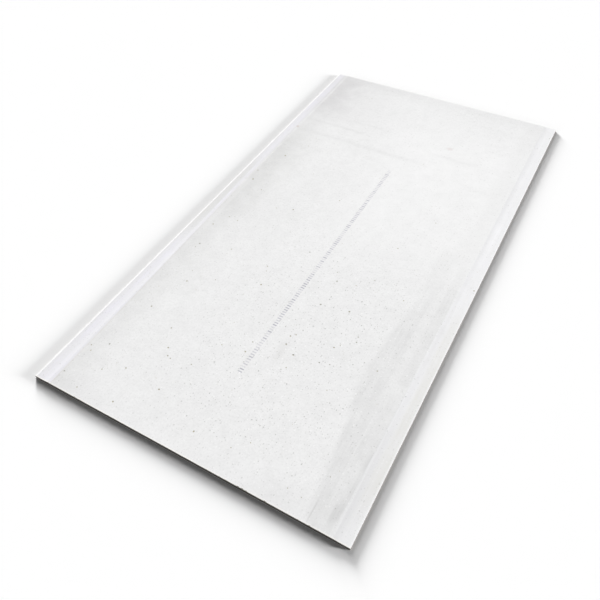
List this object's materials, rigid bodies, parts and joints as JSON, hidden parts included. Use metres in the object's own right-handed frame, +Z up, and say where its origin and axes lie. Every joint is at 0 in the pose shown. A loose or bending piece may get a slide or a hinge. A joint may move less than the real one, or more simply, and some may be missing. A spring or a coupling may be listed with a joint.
{
  "type": "cement board",
  "caption": "Flat rectangular fibre-cement sheet with a shallow recess along both long edges of its face, for lining walls, ceilings and wet areas.",
  "frame": {"origin": "centre of the back face, on the floor that the sheet lies on", "axes": "+Y along the length and the recessed edges, +X across the width, +Z up through the thickness, from the back to the face"},
  "size_m": [1.2, 2.4, 0.012],
  "materials": {
    "fibre_cement": "matte, pale grey-white, smooth pressed face with small pits and faint stains, sawn edges darker"
  },
  "bodies": {
    "root": {"cement_board": "fibre_cement"}
  },
  "joints": []
}
